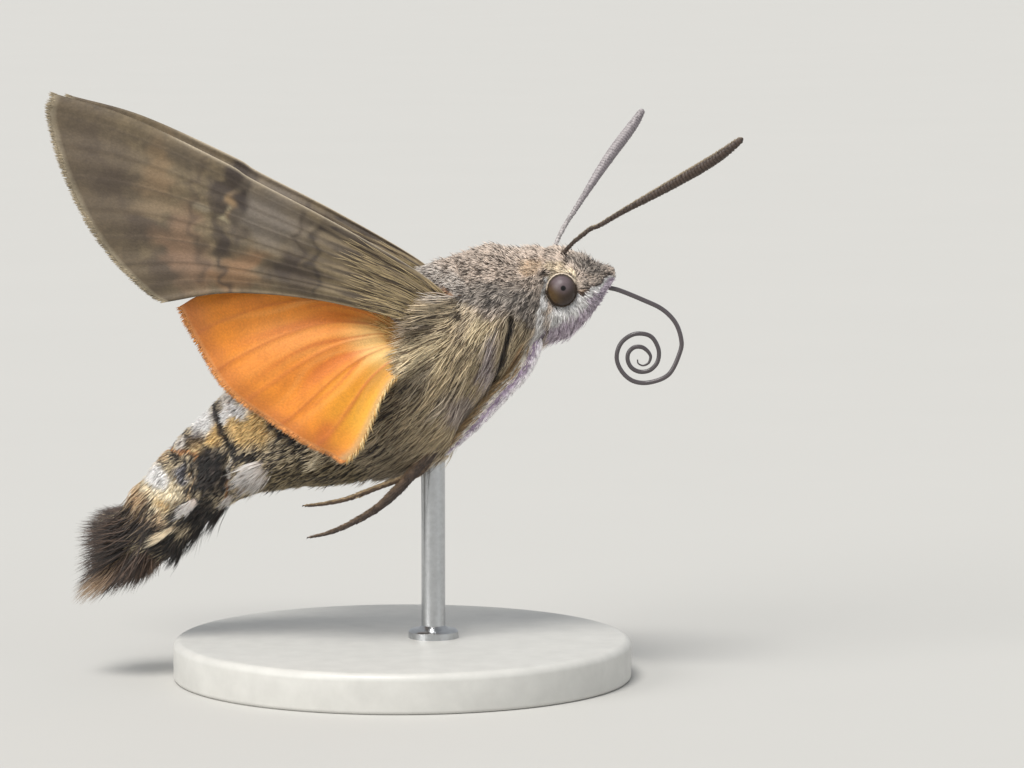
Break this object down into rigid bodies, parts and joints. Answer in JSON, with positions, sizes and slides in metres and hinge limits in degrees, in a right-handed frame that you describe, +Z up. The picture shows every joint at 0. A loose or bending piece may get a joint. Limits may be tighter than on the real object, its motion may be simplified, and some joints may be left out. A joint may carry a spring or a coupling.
{
  "type": "hummingbird hawk moth model",
  "caption": "Life-size still model of a hovering hummingbird hawk moth with raised wings and coiled tongue, held by a rod on a flat round display base.",
  "frame": {"origin": "middle of the display base's flat underside", "axes": "+X towards the moth's head, -Y towards its right side, +Z up"},
  "size_m": [0.034, 0.023, 0.0296],
  "materials": {
    "fur_grey": "dense grey-brown hair with pale tips",
    "fur_white": "dense white hair with a mauve tinge",
    "fur_dark": "dense scales, black and brown with cream and white patches",
    "eye": "glossy dark brown",
    "wing_brown": "matt scales, grey-brown with dark lines",
    "wing_orange": "matt scales, orange",
    "feeler": "finely ringed dark brown",
    "tongue": "smooth horn, grey-brown",
    "leg": "short brown scales",
    "stand_base": "plain pale grey",
    "stand_rod": "plain steel"
  },
  "bodies": {
    "root": {"head": "fur_grey", "palp_right": "fur_white", "palp_left": "fur_white", "eye_right": "eye", "eye_left": "eye", "antenna_right": "feeler", "antenna_left": "feeler", "proboscis": "tongue", "thorax": "fur_grey", "abdomen_front": "fur_dark", "abdomen_middle": "fur_dark", "abdomen_rear": "fur_dark", "forewing_right": "wing_brown", "forewing_left": "wing_brown", "hindwing_right": "wing_orange", "hindwing_left": "wing_orange", "foreleg_right": "leg", "foreleg_left": "leg", "midleg_right": "leg", "midleg_left": "leg", "hindleg_right": "leg", "hindleg_left": "leg", "stand_base": "stand_base", "stand_rod": "stand_rod"}
  },
  "joints": []
}
